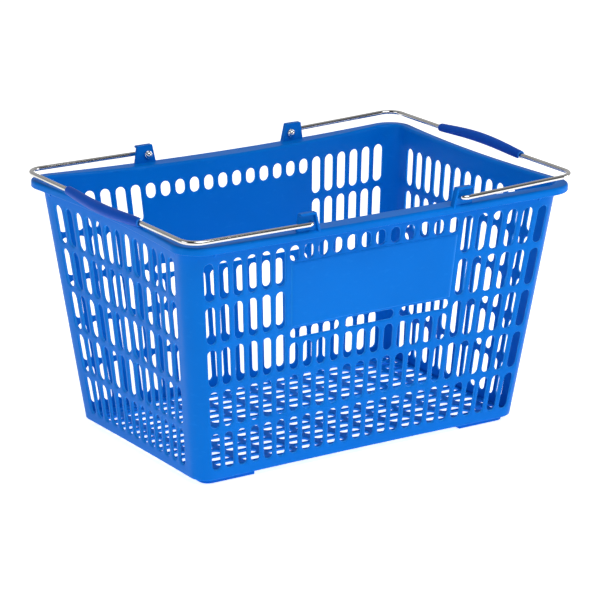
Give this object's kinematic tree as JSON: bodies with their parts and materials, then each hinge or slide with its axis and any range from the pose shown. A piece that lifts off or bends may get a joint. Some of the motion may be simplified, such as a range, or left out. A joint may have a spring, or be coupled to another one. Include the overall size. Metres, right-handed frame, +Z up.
{
  "type": "shopping basket",
  "caption": "Hand-carried slotted plastic shopping basket with two hinged wire bails and turning moulded grips",
  "frame": {"origin": "on the surface that the basket stands on, under the middle of its box", "axes": "+X along the basket towards the right bail's grip, +Y across it towards the back wall, +Z up"},
  "size_m": [0.4839, 0.34, 0.2857],
  "materials": {
    "tub_plastic": "glossy moulded polypropylene, bright blue",
    "grip_plastic": "satin moulded plastic, darker blue",
    "wire_chrome": "bright chrome plated steel wire",
    "cap_chrome": "bright chrome plated push-on cap"
  },
  "bodies": {
    "tub": {"basket_tub": "tub_plastic"},
    "left_bail": {"left_bail_wire": "wire_chrome", "left_front_wire_cap": "cap_chrome", "left_back_wire_cap": "cap_chrome"},
    "right_bail": {"right_bail_wire": "wire_chrome", "right_front_wire_cap": "cap_chrome", "right_back_wire_cap": "cap_chrome"},
    "left_handle": {"left_grip": "grip_plastic"},
    "right_handle": {"right_grip": "grip_plastic"}
  },
  "joints": [
    {"name": "left_bail_hinge", "type": "hinge", "parent": "tub", "child": "left_bail", "pos_m": [-0.091, 0, 0.2713], "axis": [0, 1, 0], "range_deg": [0, 118]},
    {"name": "right_bail_hinge", "type": "hinge", "parent": "tub", "child": "right_bail", "pos_m": [0.091, 0, 0.2713], "axis": [0, -1, 0], "range_deg": [0, 116]},
    {"name": "left_grip_turn", "type": "hinge", "parent": "left_bail", "child": "left_handle", "pos_m": [-0.2345, 0, 0.2713], "axis": [0, 1, 0], "range_deg": [-5, 120]},
    {"name": "right_grip_turn", "type": "hinge", "parent": "right_bail", "child": "right_handle", "pos_m": [0.23441, 0, 0.27631], "axis": [0, -1, 0], "range_deg": [-120, 40]}
  ]
}
